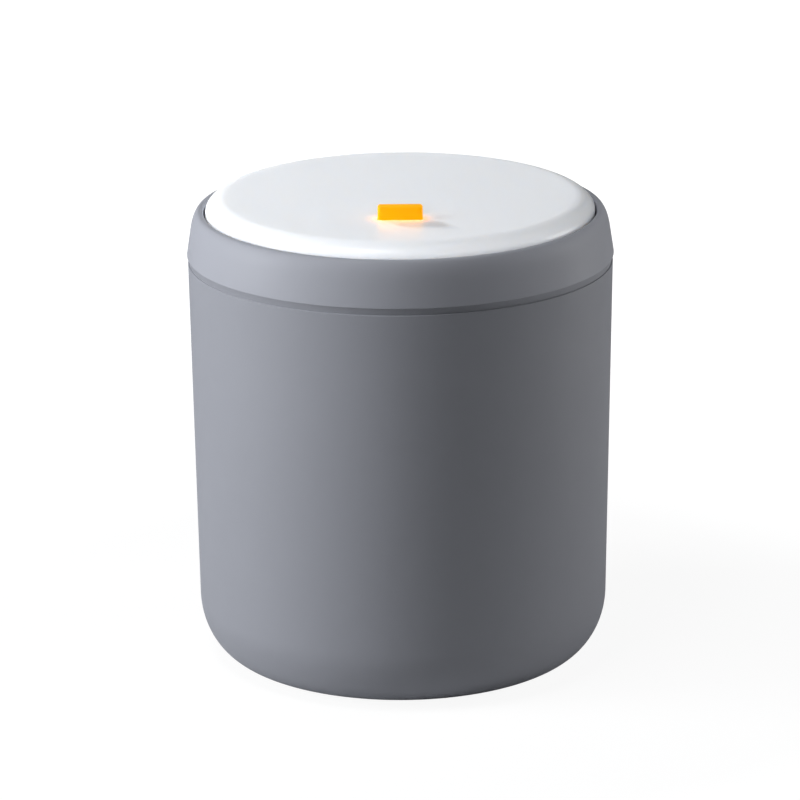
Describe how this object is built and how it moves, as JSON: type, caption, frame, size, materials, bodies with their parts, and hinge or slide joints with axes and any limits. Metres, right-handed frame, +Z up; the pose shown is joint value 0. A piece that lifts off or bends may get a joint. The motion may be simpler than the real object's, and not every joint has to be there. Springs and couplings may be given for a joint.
{
  "type": "push top countertop bin",
  "caption": "Round matte countertop bin with a lift-off rim collar and a sprung white lid that a small push tab unlatches.",
  "frame": {"origin": "on the surface the bin stands on, under the middle of the round body", "axes": "+Z up, -Y towards the front where the push tab is, +Y towards the lid's hinge"},
  "size_m": [0.1814, 0.1814, 0.2084],
  "materials": {
    "body_plastic": "fine matte moulded",
    "lid_plastic": "satin white moulded",
    "pan_plastic": "fine matte moulded",
    "tab_plastic": "satin orange moulded",
    "latch_plastic": "slippery engineering plastic",
    "rubber_pads": "matte soft",
    "screw_steel": "bright zinc",
    "spring_steel": "drawn wire",
    "pin_steel": "ground rod"
  },
  "bodies": {
    "bin": {"bin_body": "body_plastic", "foot_pad_1": "rubber_pads", "foot_pad_2": "rubber_pads", "foot_pad_3": "rubber_pads", "foot_pad_4": "rubber_pads"},
    "collar": {"rim_collar": "body_plastic", "lid_buffer_1": "rubber_pads", "lid_buffer_2": "rubber_pads", "lid_buffer_3": "rubber_pads", "lid_buffer_4": "rubber_pads", "lid_spring": "spring_steel"},
    "lid": {"lid_cover": "lid_plastic", "lid_underpan": "pan_plastic", "underpan_screws": "screw_steel", "bolt_bridge": "latch_plastic", "bridge_screws": "screw_steel", "bolt_spring": "spring_steel", "hinge_pin": "pin_steel"},
    "tab": {"push_tab": "tab_plastic"},
    "bolt": {"latch_bolt": "latch_plastic"}
  },
  "joints": [
    {"name": "collar_lift", "type": "slide", "parent": "bin", "child": "collar", "axis": [0, 0, 1], "range_m": [0, 0.08]},
    {"name": "lid_hinge", "type": "hinge", "parent": "collar", "child": "lid", "pos_m": [0, 0.072, 0.1968], "axis": [-1, 0, 0], "range_deg": [0, 70], "deforming": ["lid_spring"]},
    {"name": "tab_press", "type": "slide", "parent": "lid", "child": "tab", "axis": [0, 0, -1], "range_m": [0, 0.0025], "stiffness_N_per_m": 300, "springref_m": -0.002},
    {"name": "latch_slide", "type": "slide", "parent": "lid", "child": "bolt", "axis": [0, 1, 0], "range_m": [0, 0.0025], "deforming": ["bolt_spring"]}
  ],
  "couplings": [
    {"joint": "latch_slide", "follows": "tab_press", "ratio": 1}
  ]
}
